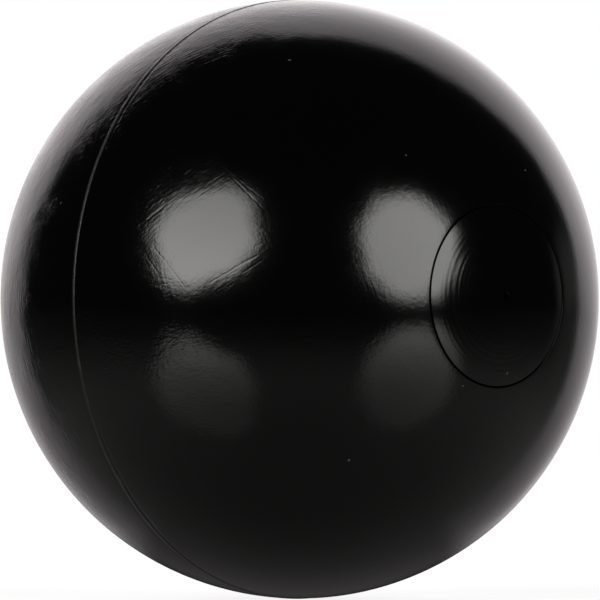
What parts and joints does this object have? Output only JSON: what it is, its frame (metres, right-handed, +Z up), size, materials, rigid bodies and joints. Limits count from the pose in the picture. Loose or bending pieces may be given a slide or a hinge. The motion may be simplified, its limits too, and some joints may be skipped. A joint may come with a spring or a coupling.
{
  "type": "case opening friction ball",
  "caption": "Inflated tacky rubber ball, pressed on a smooth screwed watch back and turned by hand, with a flush valve plug and needle hole at one pole and a cemented seam.",
  "frame": {"origin": "the ball's centre", "axes": "+X is the ball's axis, out through the needle hole in the valve plug; +Z is up, away from the watch; the seam lies in the YZ plane"},
  "size_m": [0.065, 0.065, 0.065],
  "materials": {
    "shell_rubber": "moulded black rubber, glossy and slightly tacky, with fine scratches",
    "plug_rubber": "moulded black rubber with fine concentric rings",
    "rubber_cement": "cured black rubber cement, glossy",
    "gum_rubber": "soft amber gum rubber, satin"
  },
  "bodies": {
    "root": {"plain_half_shell": "shell_rubber", "valve_half_shell": "shell_rubber", "seam_cement": "rubber_cement", "valve_plug": "plug_rubber", "flange_cement": "rubber_cement", "valve_bung": "gum_rubber"}
  },
  "joints": []
}
